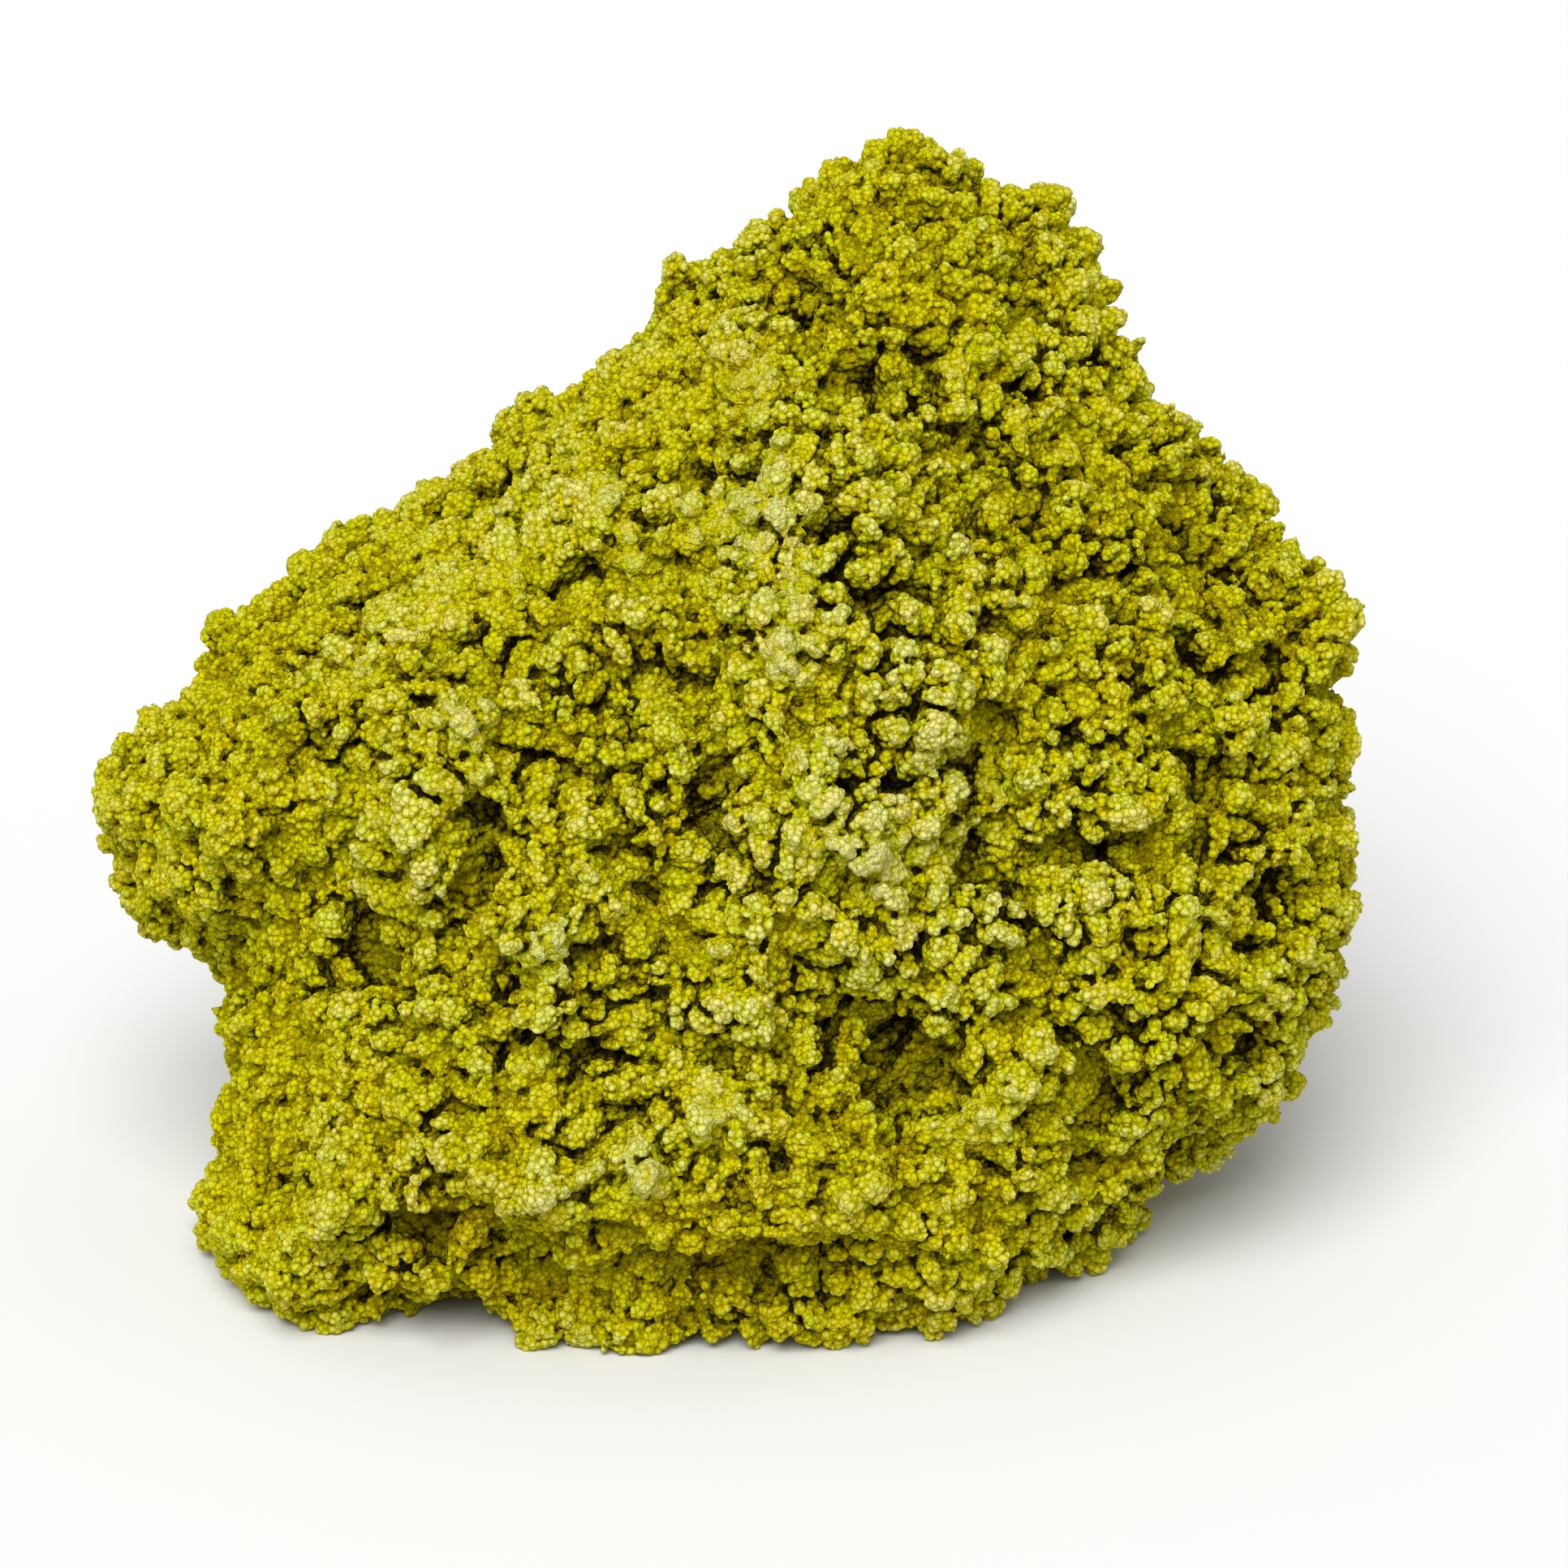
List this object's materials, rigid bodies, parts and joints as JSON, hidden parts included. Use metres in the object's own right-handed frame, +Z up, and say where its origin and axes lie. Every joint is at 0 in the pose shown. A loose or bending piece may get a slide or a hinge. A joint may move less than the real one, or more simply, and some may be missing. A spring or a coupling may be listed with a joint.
{
  "type": "nontronite mineral specimen",
  "caption": "Lump of matte yellow-green clay mineral with a rough botryoidal crust, a peak at one side and a flat broken base to stand on.",
  "frame": {"origin": "on the flat base, at the middle of the lump's bounding box", "axes": "+X to the right along the widest span, -Y towards the broad leaning face that is seen, +Z up"},
  "size_m": [0.0896, 0.071, 0.0732],
  "materials": {
    "nontronite_clay": "dull, earthy clay: saturated yellow-green with darker olive gaps and paler chalky crests, with no gloss"
  },
  "bodies": {
    "root": {"nontronite_lump": "nontronite_clay"}
  },
  "joints": []
}
